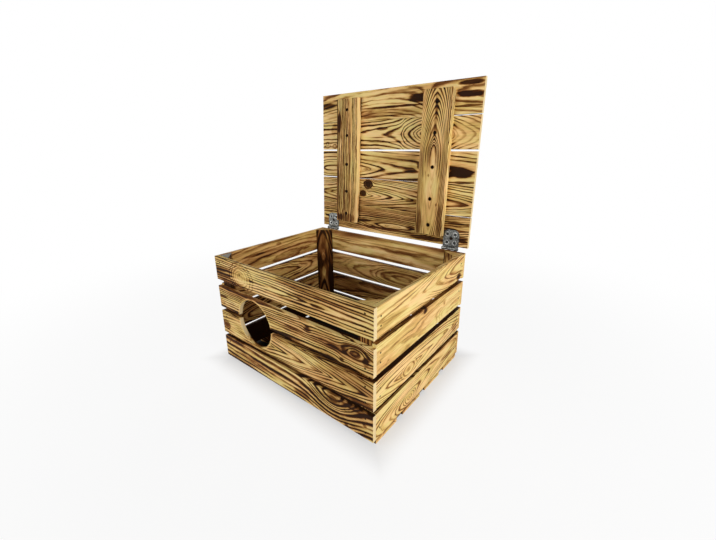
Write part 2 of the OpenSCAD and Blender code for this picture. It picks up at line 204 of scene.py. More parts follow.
flame = {
    "colours": [
        (0.0, (250, 223, 155)), (0.18, (233, 194, 120)), (0.36, (200, 157, 92)), (0.54, (156, 110, 58)),
        (0.7, (112, 69, 28)), (0.85, (74, 41, 12)), (1.0, (42, 21, 4)),
    ],
    "ringLine": [
        (0.0, 0.95), (0.06, 0.5), (0.16, 0.1), (0.34, 0.0), (0.5, 0.1), (0.64, 0.5), (0.78, 0.92), (1.0, 1.0),
    ],
    "cool": (0.96, 0.99, 0.87), "warm": (1.05, 0.95, 0.98), "hues": (0.35, 0.65),
    # rings: how uneven the years are, and a line's darkness by luck, always and by place
    "years": 0.45, "uneven": 1.5, "byLuck": 0.85, "always": 0.34, "byPlace": 1.7,
    # what the brown adds up from: ring lines, clouds, streaks, single fibres and a share everywhere
    "lines": 0.8, "clouds": 1.1, "streaks": 0.25, "streakFrom": (0.54, 0.7), "fibres": 0.6, "all": 0.1,
    # scorched patches: where their edge fades, and how ragged it is by ripples and by broad clouds
    "patchEdge": (0.35, 1.25), "patchRagged": (0.9, 0.5),
    # knots and loops: shape, raggedness, the core's and the rim's share of the size, the rim's darkness
    "knotLong": 1.3, "knotRagged": 0.5, "knotCore": 0.55, "knotRim": 0.25, "knotRimDark": 0.5,
    "loopRagged": 0.35, "loopSharp": 0.25,
    # faces: depths between shown and hidden, and turns at which the ends and the narrow edges begin
    "hiddenFrom": (-6, -4), "endTurn": (0.5, 0.8), "edgeTurn": (0.55, 0.9), "endPaler": 0.6, "capShare": 0.85,
    # a sawn hole's sanded rim, which is browner at the back
    "sandedWide": (2.5, 6.0), "sandedRagged": 5, "sandedPaler": 0.6, "rimBackFrom": (-9.0, -6.0), "rimBack": 0.8,
    # brushed relief in metres, and what it and the roughness add up from
    "relief": 0.0007, "reliefStrength": 0.6, "lineHigh": 0.5, "fibreHigh": 0.35, "knotHigh": 0.4, "burnLow": 0.25,
    "roughness": 0.68, "cloudRough": 0.2, "lineRough": -0.08, "fibreRough": 0.1, "shine": 0.09,
}
# Sizes of the noises' clouds along, across and into the board, and how far they move the heart and the rings
noises = {
    "broad": (110, 34, 60), "broadSide": (140, 46, 60), "ripple": (24, 9, 14), "wash": (170, 24, 40),
    "patch": (60, 20, 30), "fibre": (34, 1.3, 1.3), "streak": (80, 2.6, 4), "hue": (120, 24, 30),
    "moveSide": 12, "moveDepth": 14, "moveRings": 3.0, "moveEyes": (4.0, 10),
}
# The curves of the heart's depth and side hold 0 to 1: its side from -100 mm in steps of 300 mm, and its
# depth in steps of 1.2 times its greatest
curves = {"side": (-100, 300), "depth": 1.2}


def flamedPine(name, place, board):
    board = {**usualBoard, **board}
    t, seed, wave = newMaterial(name), board["seed"], board["wave"]
    position, normal = t.source("ShaderNodeTexCoord", "Object"), t.source("ShaderNodeTexCoord", "Normal")
    turned = {"vector_type": "TEXTURE"}
    local = t.node("ShaderNodeMapping", turned, {
        "Vector": position, "Location": place["corner"], "Rotation": place["turn"], "Scale": (0.001,) * 3,
    })
    facing = t.node("ShaderNodeMapping", turned, {"Vector": normal, "Rotation": place["turn"]})
    along, across, out = local.parts()
    endwise, sideways, _ = facing.parts()

    def cloud(kind, shift, detail, roughness=0.5):
        return t.noise(local.stretched(noises[kind], shift), detail, roughness)

    def distance(at, up, stretch=1.0):  # from a point of the shown face
        dx, dy = (along - at) / stretch, across - up
        return (dx * dx + dy * dy) ** 0.5

    # distance from the log's heart, counted in growth rings
    heart = board["heart"]
    length, deepest = heart[-1][0], max(h[1] for h in heart) * curves["depth"]
    lowest, span = curves["side"]
    depths = [(h[0] / length, h[1] / deepest) for h in heart]
    sides = [(h[0] / length, (h[2] - lowest) / span) for h in heart]
    depth = t.node("ShaderNodeFloatCurve", {"bends": depths}, {"Value": along / length}) * deepest
    side = t.node("ShaderNodeFloatCurve", {"bends": sides}, {"Value": along / length}) * span + lowest
    broad = cloud("broad", (seed * 7.3, seed * 1.7, 3), 2)
    broadSide = cloud("broadSide", (seed * 3.1, 11, seed * 2.3), 1)
    ripple = cloud("ripple", (5, seed * 5.9, seed), 2, 0.55)
    acrossHeart = across - side + (broadSide - 0.5) * (noises["moveSide"] * wave)
    overHeart = out + depth + (broad - 0.5) * (noises["moveDepth"] * wave)
    point = board["point"]
    fromHeart = (acrossHeart.calc("ABSOLUTE") ** point + overHeart.calc("ABSOLUTE") ** point) ** (1 / point)
    rings = (fromHeart + (ripple - 0.5) * (noises["moveRings"] * wave)) / board["ring"]

    # branches: rings that close round them, knots, and single closed lines
    for at, up, reach, step, stretch in board["eyes"]:
        rippleShift, broadShift = (move * wave for move in noises["moveEyes"])
        far = distance(at, up, stretch) + (ripple - 0.5) * rippleShift + (broad - 0.5) * broadShift
        start = min(heart, key=lambda h: abs(h[0] - at))
        start = (start[1] ** point + abs(up - start[2]) ** point) ** (1 / point) / board["ring"] - reach / step
        rings = rings + (far / step + start - rings) * ((far / reach) ** 3 * -1).calc("EXPONENT")
    core, rim = 0.0, 0.0
    for at, up, size, reach, push, dark in board["knots"]:
        far = distance(at, up, flame["knotLong"]) + (ripple - 0.5) * (size * flame["knotRagged"])
        rings = rings + (far * far * (-1 / reach ** 2)).calc("EXPONENT") * push
        core = core + (1 - far.smooth(size * flame["knotCore"], size)) * dark
        around = 1 - (far - size).calc("ABSOLUTE").smooth(0.0, size * flame["knotRim"])
        rim = rim + around * (dark * flame["knotRimDark"])
    for at, up, radius, stretch, width, dark in board["loops"]:
        far = distance(at, up, stretch) + (ripple - 0.5) * (radius * flame["loopRagged"])
        rim = rim + (1 - (far - radius).calc("ABSOLUTE").smooth(width * flame["loopSharp"], width)) * dark

    # ring lines, in wide and narrow years, each with its own darkness
    oneWay = {"noise_dimensions": "1D"}
    widths = t.node("ShaderNodeTexNoise", oneWay, {"W": rings + seed * 3.7, "Scale": flame["years"], "Detail": 0.0})
    rings = rings + (widths - 0.5) * flame["uneven"]
    luck = t.node("ShaderNodeTexWhiteNoise", oneWay, {"W": rings.calc("FLOOR") + seed * 17.3})
    thin = board["thin"]
    stops = [(at / thin if at < 0.3 else 1 - (1 - at) / thin, (v,) * 3) for at, v in flame["ringLine"]]
    line = t.node("ShaderNodeValToRGB", {"stops": stops}, {"Fac": rings.calc("FRACT")})

    def within(at, up, halfLength, halfWidth):  # 1 in an oval patch with ragged edges
        dx, dy = (along - at) / halfLength, (across - up) / halfWidth
        byRipple, byBroad = flame["patchRagged"]
        far = dx * dx + dy * dy + (ripple - 0.5) * byRipple + (broad - 0.5) * byBroad
        return 1 - far.smooth(*flame["patchEdge"])

    # how far the flame went
    wash = cloud("wash", (seed * 2.9, seed * 4.1, 1), 3, 0.55)
    patch = cloud("patch", (seed * 1.9, 2, seed * 6.1), 2)
    fibre = cloud("fibre", (seed, 0, 0), 3, 0.65)
    streak = cloud("streak", (seed * 0.7, 5, 9), 3, 0.6)
    bold = luck * flame["byLuck"] + flame["always"] + (patch - 0.5) * flame["byPlace"]
    bold = bold.clamped() * board["line"]
    for *oval, amount in board["plain"]:
        bold = bold * (1 - within(*oval) * amount)
    burn = line * bold * flame["lines"] + (wash - 0.5) * (flame["clouds"] * board["wash"])
    burn = burn + streak.smooth(*flame["streakFrom"]) * flame["streaks"] + (fibre - 0.5) * flame["fibres"]
    burn = burn + (board["char"] + flame["all"])
    for *oval, amount in board["scorch"]:
        burn = burn + within(*oval) * amount
    burn = burn + core + rim
    # painted shade on the faces inside the crate, browner where shade falls, and paler where a minus paints light
    shown = out.smooth(*flame["hiddenFrom"])
    burn = burn + shown * board["paintedShade"][0] + (1 - shown) * board["paintedShade"][1]

    # the flame caught the narrow edges, and painted shade darkens them further in the gaps between slats, while a
    # minus paints lit edges paler; the end grain is left paler
    end = endwise.calc("ABSOLUTE").smooth(*flame["endTurn"])
    edge = sideways.calc("ABSOLUTE").smooth(*flame["edgeTurn"])
    if board["hole"]:
        at, up, radius = board["hole"]
        fromRim = distance(at, up) + (ripple - 0.5) * flame["sandedRagged"] - radius
        sanded = 1 - fromRim.smooth(*flame["sandedWide"])
        rimBack = sanded * (1 - out.smooth(*flame["rimBackFrom"]))
        edge = edge * (1 - sanded)
        burn = burn * (1 - sanded * flame["sandedPaler"]) + rimBack * flame["rimBack"]
    burn = (burn + edge * board["edge"]) * (1 - end * flame["endPaler"])
    ramp = [(at, fromScreen(*c)) for at, c in flame["colours"]]
    colour = t.node("ShaderNodeValToRGB", {"stops": ramp}, {"Fac": burn.clamped()})
    hue = cloud("hue", (seed * 8.3, 4, seed), 2).smooth(*flame["hues"])
    colour = t.blend(1.0, colour, t.blend(hue, (*flame["cool"], 1), (*flame["warm"], 1)), "MULTIPLY")
    if board["cap"]:
        colour = t.blend(end * flame["capShare"], colour, (*fromScreen(*board["cap"]), 1))

    # brushed relief: the hard ring lines stand up, and the fibres show
    height = line * flame["lineHigh"] + fibre * flame["fibreHigh"] + core * flame["knotHigh"]
    height = height - burn * flame["burnLow"]
    relief = t.node("ShaderNodeBump", {}, {
        "Strength": flame["reliefStrength"], "Distance": flame["relief"], "Height": height,
    })
    rough = (wash - 0.5) * flame["cloudRough"] + line * flame["lineRough"] + fibre * flame["fibreRough"]
    rough = rough + flame["roughness"]
    return t.finish(t.node("ShaderNodeBsdfPrincipled", {}, {
        "Base Color": colour, "Roughness": rough, "Normal": relief, "Specular IOR Level": flame["shine"],
    }))


def dress(node, material):
    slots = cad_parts[node].data.materials
    if len(slots) == 0:
        slots.append(material)
    for k in range(len(slots)):
        slots[k] = material


# Half the crate's width and depth outside and inside its walls, and its bottom boards, in millimetres
crate = {"outside": (250, 200), "inside": (240, 190), "boardTop": 10, "boardStep": 101}
(outsideX, outsideY), (insideX, insideY) = crate["outside"], crate["inside"]
right, back, up = (1, 0, 0), (0, 1, 0), (0, 0, 1)
# Painted shade inside the crate: how much browner its faces are painted, darkest towards the bottom, for the slats
# from the lowest up
insideShade = {"slats": (0.5, 0.22, 0.06, 0.0), "leftLowest": 2, "leftOthers": 0.6, "bottom": 0.7}
sawn = (246, 222, 172)  # the sawn ends of the front's and the lid's boards


def toned(board, tone):  # the board, with the tone's values added to its own
    board = {**usualBoard, **board}
    return {**board, **{key: board[key] + more for key, more in tone.items()}}



# Front wall, from the lowest slat up; along runs right from its left end, across runs up
frontTone = {"line": 0.15, "char": 0.02}
frontSlats = [
    {
        "low": 10, "seed": 1, "edge": 0.2, "ring": 11.0, "line": 1.55, "char": -0.04, "wave": 0.6,
        "heart": [(0, 34, -26), (200, 36, -28), (330, 36, -28), (420, 36, -24), (500, 36, -18)],
        "knots": [(396, 51, 13, 46, 4.2, 0.36)], "plain": [(397, 60, 20, 13, 0.85)],
        "scorch": [
            (405, 30, 95, 36, 0.13), (235, 30, 90, 32, -0.12), (60, 9, 56, 8, 0.35), (160, 30, 130, 4, 0.4),
            (318, 42, 30, 5, 0.3), (130, 20, 100, 2.5, 0.3), (190, 8, 60, 7, -0.25), (300, 17, 28, 11, 0.45),
            (462, 57, 45, 6, 0.4), (250, 2, 80, 2.5, 0.3), (240, 56, 150, 3, -0.15), (432, 5, 6, 5, 0.5),
            (480, 30, 6, 4, 0.4),
        ],
    },
    {
        "low": 83.5, "seed": 2, "edge": 0.2, "hole": (143.5, 68, 62), "ring": 6.3, "line": 1.4, "thin": 1.2,
        "point": 1.15, "char": 0.0, "wave": 0.4,
        "heart": [
            (0, 12, 30), (150, 3, 30), (220, 12.6, 29.5), (355, 31.5, 29.5), (490, 50.4, 29.5), (500, 52, 29.5),
        ],
        "knots": [(15, 25.5, 12, 14, 0, 0.6)], "loops": [(15, 25.5, 12, 1.15, 2.6, 0.3)],
        "plain": [(15, 25.5, 20, 15, 1.0), (62, 30, 44, 28, 0.5)],
        "scorch": [
            (430, 30, 80, 36, 0.12), (280, 32, 75, 34, -0.1), (65, 34, 40, 24, -0.08), (52, 40, 30, 2.5, 0.15),
            (80, 24, 16, 3, 0.2), (480, 6, 45, 9, 0.4), (250, 61, 250, 2.5, 0.3), (250, 2, 260, 3, 0.4),
            (345, 29.5, 14, 3, 0.35), (474, 29.5, 14, 3, 0.3), (284, 29.5, 10, 2.5, 0.25),
        ],
    },
    {
        "low": 159, "seed": 3, "edge": -0.3, "hole": (143.5, -7.5, 62), "ring": 5.2, "line": 1.45, "thin": 1.1,
        "char": 0.0, "wave": 0.9,
        "heart": [(0, 26, -22), (250, 30, -16), (400, 26, -12), (500, 30, -12)],
        "eyes": [(458, 36, 22, 8.0, 1.9)],
        "knots": [(458, 38, 8, 28, 0, 0.35), (330, 43, 7, 11, 0.8, 0.5), (424, 10, 4.5, 8, 0.8, 0.6)],
        "loops": [(458, 38, 14, 2.1, 3.5, 0.45), (452, 39, 8, 1.9, 2.5, 0.2)],
        "scorch": [
            (425, 30, 85, 36, 0.16), (275, 20, 70, 26, -0.09), (60, 18, 50, 12, -0.15), (290, 31, 36, 3, 0.35),
            (250, 1, 260, 3, 0.5), (18, 33, 20, 4, 0.5), (402, 31, 16, 4, 0.45), (410, 28, 34, 6, 0.2),
            (334, 46, 10, 4, 0.2), (482, 28, 8, 10, 0.3), (360, 18, 60, 8, -0.15), (340, 57, 190, 4, -0.12),
            (110, 61, 130, 5, -0.45), (220, 50, 120, 5, 0.12),
        ],
    },
    {
        "low": 237, "seed": 4, "edge": -0.05, "ring": 5.2, "line": 1.45, "thin": 1.15, "point": 1.35,
        "char": -0.01, "wave": 0.45,
        "heart": [(0, 12, 26), (105, 13, 26), (180, 16, 27), (388, 20.8, 27), (500, 23.5, 26)],
        "knots": [(103, 34, 2.5, 3, 0, 0.5)], "plain": [(105, 26, 40, 30, 0.8)],
        "loops": [
            (104, 28, 9, 1.1, 2.0, 0.16), (104, 26, 17, 1.1, 2.2, 0.22), (105, 26, 24, 1.15, 2.2, 0.34),
            (106, 26, 31, 1.2, 2.2, 0.4), (107, 26, 38, 1.25, 2.2, 0.4),
        ],
        "scorch": [
            (210, 30, 100, 36, -0.19), (50, 30, 60, 34, 0.04), (105, 26, 32, 24, -0.05), (24, 36, 34, 4, 0.4),
            (26, 18, 36, 6, 0.4), (75, 4, 70, 5, 0.4), (362, 27, 24, 4, 0.6), (270, 33, 90, 1.6, 0.35),
            (270, 20, 90, 1.6, 0.35), (240, 27, 80, 4, -0.2), (420, 45, 90, 4, 0.25), (300, 54, 160, 3, 0.2),
            (360, 5, 130, 3, -0.1), (250, 40, 60, 4, -0.12),
        ],
    },
]
for i, slat in enumerate(frontSlats):
    place = boardFrame((-outsideX, -outsideY, slat["low"]), right, up)
    pine = {**toned(slat, frontTone), "cap": sawn, "paintedShade": (0, insideShade["slats"][i])}
    dress(f"front_slat_{i + 1}", flamedPine(f"frontPine{i + 1}", place, pine))
print("front wall")

# Right wall, from the lowest slat up; along runs to the back from its front end
rightSlats = [
    {
        "low": 10, "seed": 11, "edge": 0.55, "ring": 5.5, "line": 0.85, "thin": 1.3, "wave": 0.5,
        "heart": [(0, 36, 14), (60, 24, 15), (130, 10, 18), (180, 16, 30), (250, 24, 42), (380, 34, 50)],
        "plain": [(70, 58, 90, 8, 0.6)], "eyes": [(130, 18, 20, 7, 1.5)],
        "scorch": [
            (290, 32, 95, 34, 0.08), (318, 28, 36, 6, 0.4), (240, 38, 80, 2, 0.2), (132, 17, 12, 4, 0.15),
        ],
    },
    {
        "low": 84, "seed": 12, "ring": 5.5, "line": 0.92, "thin": 1.4, "point": 1.4, "wave": 0.25,
        "heart": [
            (0, 25, 29), (20, 22, 29), (75, 14, 25), (123, 10, 23), (180, 16, 26), (235, 22, 29),
            (300, 27.5, 30.5), (345, 33, 31), (380, 37, 32),
        ],
        "plain": [(122, 23, 34, 19, 0.95)],
        "loops": [(122, 23, 13, 1.7, 2.4, 0.42), (122, 23, 18, 1.9, 1.8, 0.22)],
        "knots": [(121, 22, 6, 14, 0, 0.3)],
        "scorch": [(356, 26, 18, 20, 0.3), (294, 30, 8, 3, 0.4), (228, 29, 8, 2.5, 0.25), (45, 34, 14, 3, 0.2)],
    },
    {
        "low": 160.5, "seed": 13, "edge": 0.45, "ring": 6.0, "line": 0.42, "thin": 1.2, "char": -0.03,
        "heart": [(0, 50, 10), (200, 44, 20), (300, 22, 10), (380, 12, 4)],
        "knots": [(184, 60, 6.5, 8, 1, 0.9), (282, 38, 4.5, 10, 1.5, 0.28)],
        "scorch": [
            (100, 30, 100, 34, -0.03), (80, 26, 90, 20, 0.08), (350, 22, 34, 6, 0.2), (330, 10, 40, 3, 0.2),
            (160, 63, 30, 1.5, 0.3),
        ],
    },
    {
        "low": 236.5, "seed": 14, "edge": -0.05, "ring": 6.0, "line": 0.75, "thin": 1.35, "point": 1.6,
        "wave": 0.35,
        "heart": [
            (0, 52, 30), (180, 44, 33), (235, 36, 34), (270, 30, 34), (305, 24, 35), (340, 18, 36),
            (380, 12, 38),
        ],
        "knots": [(357, 10, 9, 12, 0.8, 1.0)], "plain": [(110, 22, 110, 14, 0.8)],
        "scorch": [(62, 24, 56, 9, 0.28), (130, 2, 140, 3, 0.4), (190, 62, 180, 2, 0.15)],
    },
]
# the right wall's narrow edges get strong painted shade, which darkens the gaps between its slats
rightTone = {"edge": 0.9, "char": -0.12}
for i, slat in enumerate(rightSlats):
    place = boardFrame((outsideX, -insideY, slat["low"]), back, up)
    pine = {**rightTone, **slat, "paintedShade": (0, insideShade["slats"][i])}
    dress(f"right_slat_{i + 1}", flamedPine(f"rightPine{i + 1}", place, pine))
print("right wall")

# Back wall, which shows its inner face through the open lid; along runs right, seen from the front
backSlats = [
    {"low": 10, "seed": 21, "char": 0.04, "heart": [(0, 34, 10), (300, 26, 20), (500, 34, 30)]},
    {"low": 86.5, "seed": 22, "char": 0.06, "line": 0.6, "heart": [(0, 44, 10), (250, 40, 60), (500, 30, 70)]},
    {
        "low": 158, "seed": 23, "char": 0.06, "ring": 5.5, "line": 0.5,
        "heart": [(0, 50, 20), (200, 34, 30), (320, 14, 30), (420, 30, 34), (500, 40, 30)],
        "scorch": [(270, 26, 16, 8, 0.2)],
    },
    {
        "low": 234, "seed": 24, "edge": -0.05, "char": 0.02, "ring": 9.0, "wave": 0.7, "line": 0.55,
        "heart": [(0, 40, 10), (250, 46, 20), (500, 40, 14)],
        "scorch": [(240, 46, 210, 2.5, 0.25), (110, 40, 60, 2, 0.3), (260, 20, 140, 12, -0.15)],
    },
]
for i, slat in enumerate(backSlats):
    place = boardFrame((-outsideX, insideY, slat["low"]), right, up)
    pine = {**slat, "paintedShade": (insideShade["slats"][i], 0)}
    dress(f"back_slat_{i + 1}", flamedPine(f"backPine{i + 1}", place, pine))

# Left wall, which shows its inner face too; along runs to the back
leftSlats = [
    {"low": 10, "seed": 31, "char": 0.08, "heart": [(0, 30, 20), (200, 18, 30), (380, 34, 30)]},
    {"low": 81.5, "seed": 32, "char": 0.08, "heart": [(0, 40, 20), (200, 26, 30), (380, 30, 40)]},
    {
        "low": 156.5, "seed": 33, "char": 0.12, "line": 0.85,
        "heart": [(0, 30, 50), (160, 20, 44), (380, 44, 30)],
    },
    {
        "low": 232.5, "seed": 34, "edge": -0.05, "char": 0.19, "line": 0.55, "ring": 8.0,
        "heart": [(0, 44, 0), (200, 30, 10), (380, 40, 20)],
        "scorch": [(100, 42, 40, 4, 0.4), (190, 56, 12, 5, 0.3), (110, 22, 60, 14, 0.12)],
    },
]
for i, slat in enumerate(leftSlats):
    place = boardFrame((-insideX, -insideY, slat["low"]), back, up)
    share = insideShade["leftLowest" if i == 0 else "leftOthers"]
    pine = {**slat, "paintedShade": (insideShade["slats"][i] * share, 0)}
    dress(f"left_slat_{i + 1}", flamedPine(f"leftPine{i + 1}", place, pine))
print("back and left walls")

# Bottom boards, from the front, seen from inside
bottomBoards = [
    {"seed": 41, "heart": [(0, 30, 20), (250, 20, 34), (500, 34, 50)], "knots": [(330, 50, 8, 14, 2, 0.4)]},
    {"seed": 42, "heart": [(0, 24, 60), (180, 12, 50), (500, 40, 30)]},
    {"seed": 43, "heart": [(0, 40, 38), (300, 16, 40), (500, 26, 44)], "knots": [(120, 24, 9, 16, 2, 0.45)]},
    {"seed": 44, "heart": [(0, 20, 20), (250, 34, 10), (500, 20, 40)]},
]
for i, board in enumerate(bottomBoards):
    place = boardFrame((-outsideX, -insideY + crate["boardStep"] * i, crate["boardTop"]), right, back)
    pine = {**board, "paintedShade": (insideShade["bottom"], 0)}
    dress(f"bottom_board_{i + 1}", flamedPine(f"bottomPine{i + 1}", place, pine))

# Corner posts, with the grain upright; across runs over the slanting face, between a side wall and the
# front or back wall
postFace = {"atSide": (237, 158), "atFront": (208, 187), "atBack": (198, 187), "char": 0.5}
posts = [
    {
        "corner": ("front", "left"), "seed": 51, "cap": (150, 152, 150),
        "heart": [(0, 24, 20), (150, 30, 24), (290, 22, 18)],
    },
    {
        # its hidden face is painted paler, as painted light where it shows through the gap
        "corner": ("front", "right"), "seed": 52, "paintedShade": (0.0, -0.45),
        "heart": [(0, 26, 30), (150, 20, 20), (290, 28, 14)],
    },
    {
        "corner": ("back", "left"), "seed": 53, "ring": 11.0, "line": 1.3, "wave": 0.35, "point": 1.4,
        "char": 0.42,
        "heart": [(0, 6, 30), (290, 60, 30)],
        "scorch": [
            (145, 6, 200, 8, 0.35), (150, 46, 150, 3, 0.2), (205, 30, 22, 7, -0.3), (145, 30, 20, 7, -0.3),
        ],
    },
    {
        "corner": ("back", "right"), "seed": 54, "char": 0.2,
        "heart": [(0, 30, 10), (150, 22, 24), (290, 30, 30)],
    },
]
for post in posts:
    wall, side = post["corner"]
    turn = (-1 if side == "left" else 1, -1 if wall == "front" else 1)
    corners = (postFace["atSide"], postFace["atFront" if wall == "front" else "atBack"])
    ends = [Vector((x * turn[0], y * turn[1], crate["boardTop"])) for x, y in corners]
    start, end = ends if turn[0] == turn[1] else reversed(ends)
    place = boardFrame(start, up, (end - start).normalized())
    pine = {"char": postFace["char"], **post}
    dress(f"corner_post_{wall}_{side}", flamedPine(f"postPine{post['seed']}", place, pine))
print("bottom and posts")

# Lid boards from the hinges up, which show their inner faces; along runs right, across up the open lid
lid = {"lean": 2.5, "axis": (204, 303.5), "boardBack": 4, "battenOut": 14, "battenLow": 31}
lidTone = {"line": 0.1, "thin": 0.25, "char": -0.03}
lean = math.radians(lid["lean"])  # how far the open lid leans past upright
upLid, outLid = Vector((0, math.sin(lean), math.cos(lean))), Vector((0, -math.cos(lean), math.sin(lean)))
lidBoards = [
    {
        "low": 6, "seed": 61, "ring": 4.4, "line": 1.35, "thin": 0.95, "point": 1.5, "wave": 0.8, "char": 0.12,
        "heart": [
            (0, 20, 34), (150, 14, 33), (200, 9, 30), (275, 5, 29), (350, 9, 30), (430, 20, 40), (500, 24, 50),
        ],
        "scorch": [
            (250, 30, 110, 36, 0.05), (170, 34, 28, 5, 0.5), (336, 31, 20, 6, 0.55), (390, 10, 70, 7, 0.5),
            (235, 17, 100, 4, 0.45), (190, 3, 120, 3, -0.25), (270, 29, 60, 4, -0.3), (480, 24, 22, 6, 0.5),
            (250, 60, 240, 14, 0.16), (486, 16, 14, 5, 0.6), (478, 42, 26, 3, 0.45), (470, 60, 34, 3, 0.4),
            # the last two are painted shade: the wood seen through the hinges' centre holes is painted near black
            (43, 17, 12, 12, 1.5), (457, 17, 12, 12, 1.5),
        ],
    },
    {
        "low": 86, "seed": 62, "ring": 4.8, "line": 1.15, "thin": 1.15, "point": 1.45, "wave": 0.45,
        "char": 0.02,
        "heart": [
            (0, 36, 33), (100, 24, 32), (150, 8, 32), (185, 13, 31), (222, 19.2, 31), (262, 24, 31),
            (350, 33.6, 31), (500, 46, 30),
        ],
        "eyes": [(182, 63, 17, 4.2, 1.1), (164, 36, 12, 4, 1.1)],
        "knots": [(181, 63, 12, 15, 0, 0.95), (163, 36, 8.5, 11, 0, 0.8)],
        "loops": [(181, 63, 12, 1.15, 2.4, 0.5), (163, 36, 8, 1.2, 2, 0.45)],
        "scorch": [
            (472, 38, 40, 44, -0.1), (20, 38, 40, 44, -0.07), (335, 28, 28, 6, 0.45), (25, 34, 40, 6, 0.25),
            (256, 27, 12, 3, 0.35), (280, 62, 90, 10, -0.16), (250, 4, 140, 6, 0.18), (460, 40, 50, 16, 0.12),
        ],
    },
    {
        "low": 166.5, "seed": 63, "ring": 9.6, "line": 1.5, "thin": 1.15, "point": 1.5, "wave": 0.4,
        "char": -0.05,
        "heart": [
            (0, 10, 26), (45, 3, 26), (110, 9, 26.5), (175, 18, 26.5), (240, 27, 27), (345, 36, 28),
            (430, 44, 28), (500, 50, 28),
        ],
        "plain": [(250, 62, 110, 11, 0.6)],
        "scorch": [
            (472, 38, 40, 44, 0.14), (20, 38, 40, 44, -0.07), (328, 24, 24, 4.5, 0.6), (464, 25, 30, 12, 0.95),
            (228, 24, 14, 4, 0.45), (250, 2, 260, 2.5, 0.5), (40, 24, 9, 5, -0.3), (275, 26, 26, 5, -0.2),
            (464, 3, 40, 3, 0.6), (250, 60, 130, 8, 0.12), (170, 26, 10, 4, 0.3),
        ],
        "knots": [(348, 38, 5, 8, 0.6, 0.8)],
    },
    {
        "low": 248.5, "seed": 64, "ring": 6.4, "line": 1.2, "thin": 1.15, "point": 1.6, "wave": 0.6,
        "char": 0.03,
        "heart": [
            (0, 56, 38), (150, 54, 38), (240, 51, 38), (282, 45, 38), (297, 36, 38), (322, 25, 38),
            (352, 13, 38), (388, 5, 37), (418, 10, 36), (450, 24, 35), (500, 40, 34),
        ],
        "plain": [(478, 36, 50, 42, 0.7)],
        "scorch": [
            (250, 38, 115, 44, -0.16), (22, 38, 50, 46, -0.28), (224, 55, 20, 5, 0.65), (258, 30, 34, 9, -0.35),
            (47, 56, 14, 20, 0.35), (230, 32, 60, 2, 0.4), (180, 66, 40, 3, 0.3), (250, 20, 90, 2.5, 0.3),
        ],
        "eyes": [(18, 12, 9, 4, 1), (48, 10, 8, 4, 1.2)],
        "loops": [(18, 12, 7, 1.5, 2, 0.4), (48, 10, 6, 1.3, 2, 0.4)],
    },
    {
        "low": 328.5, "seed": 65, "ring": 9.0, "line": 0.7, "wave": 0.8, "char": -0.04,
        "heart": [(0, 26, 84), (120, 40, 90), (300, 44, 88), (400, 30, 60), (500, 22, 50)],
        "scorch": [
            (338, 46, 36, 11, 0.85), (470, 44, 36, 8, 0.95), (470, 68, 36, 6, 0.9), (250, 30, 115, 3.5, 0.8),
            (250, 12, 130, 13, 0.28), (250, 8, 120, 2, 0.3), (22, 46, 30, 9, 0.5), (95, 60, 60, 3, 0.7),
            (225, 44, 60, 9, -0.3), (400, 62, 40, 8, -0.2), (470, 18, 40, 3, 0.5), (300, 68, 60, 2.5, 0.3),
        ],
    },
]
# The lid boards' long edges aren't straight: by how many millimetres each gap closes, at distances along it
closings = [
    [(0, 2.1), (390, 2.1), (440, 0.6), (500, 0.3)],
    [(0, 0.0), (60, 0.2), (150, 1.8), (340, 2.0), (430, 2.7), (500, 2.7)],
    [(0, 0.0), (500, 0.0)],
    [(0, 1.3), (60, 1.5), (150, 2.2), (350, 2.2), (420, 0.3), (500, 0.0)],
]
edges = {"cuts": 40, "same": 0.000001}  # pieces that a board's length is cut into, and when points are one


def between(points, x):  # the height at x of the line through the points
    for (x0, y0), (x1, y1) in zip(points, points[1:]):
        if x <= x1:
            break
    return y0 + (y1 - y0) * min(max((x - x0) / (x1 - x0), 0), 1)


def crookedBoard(i, material):
    mesh = bmesh.new()
    mesh.from_mesh(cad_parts[f"lid_board_{i + 1}"].data)
    bmesh.ops.remove_doubles(mesh, verts=mesh.verts, dist=edges["same"])
    step = 2 * outsideX / 1000 / edges["cuts"]
    for k in range(1, edges["cuts"]):
        parts = mesh.verts[:] + mesh.edges[:] + mesh.faces[:]
        bmesh.ops.bisect_plane(mesh, geom=parts, plane_co=(k * step - outsideX / 1000, 0, 0), plane_no=right)
    heights = [v.co.dot(upLid) for v in mesh.verts]
    low, high = min(heights), max(heights)
    for v, height in zip(mesh.verts, heights):
        x, share = v.co.x * 1000 + outsideX, (height - low) / (high - low)
        lower = between(closings[i - 1], x) / 2 if i > 0 else 0
        upper = between(closings[i], x) / 2 if i < len(closings) else 0
        v.co += upLid * ((upper * share - lower * (1 - share)) / 1000)
    for face in mesh.faces:
        face.smooth = False
    bmesh.ops.recalc_face_normals(mesh, faces=mesh.faces)
    data = bpy.data.meshes.new(f"crooked_board_{i + 1}")
    mesh.to_mesh(data)
    mesh.free()
    data.materials.append(material)
    piece = bpy.data.objects.new(f"crooked_board_{i + 1}", data)
    bpy.context.scene.collection.objects.link(piece)
    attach(piece, "lid")
    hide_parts(f"lid_board_{i + 1}")


for i, board in enumerate(lidBoards):
    start = Vector((-outsideX, *lid["axis"])) + upLid * board["low"] - outLid * lid["boardBack"]
    pine = {**toned(board, lidTone), "cap": sawn}
    crookedBoard(i, flamedPine(f"lidPine{i + 1}", boardFrame(start, right, upLid), pine))

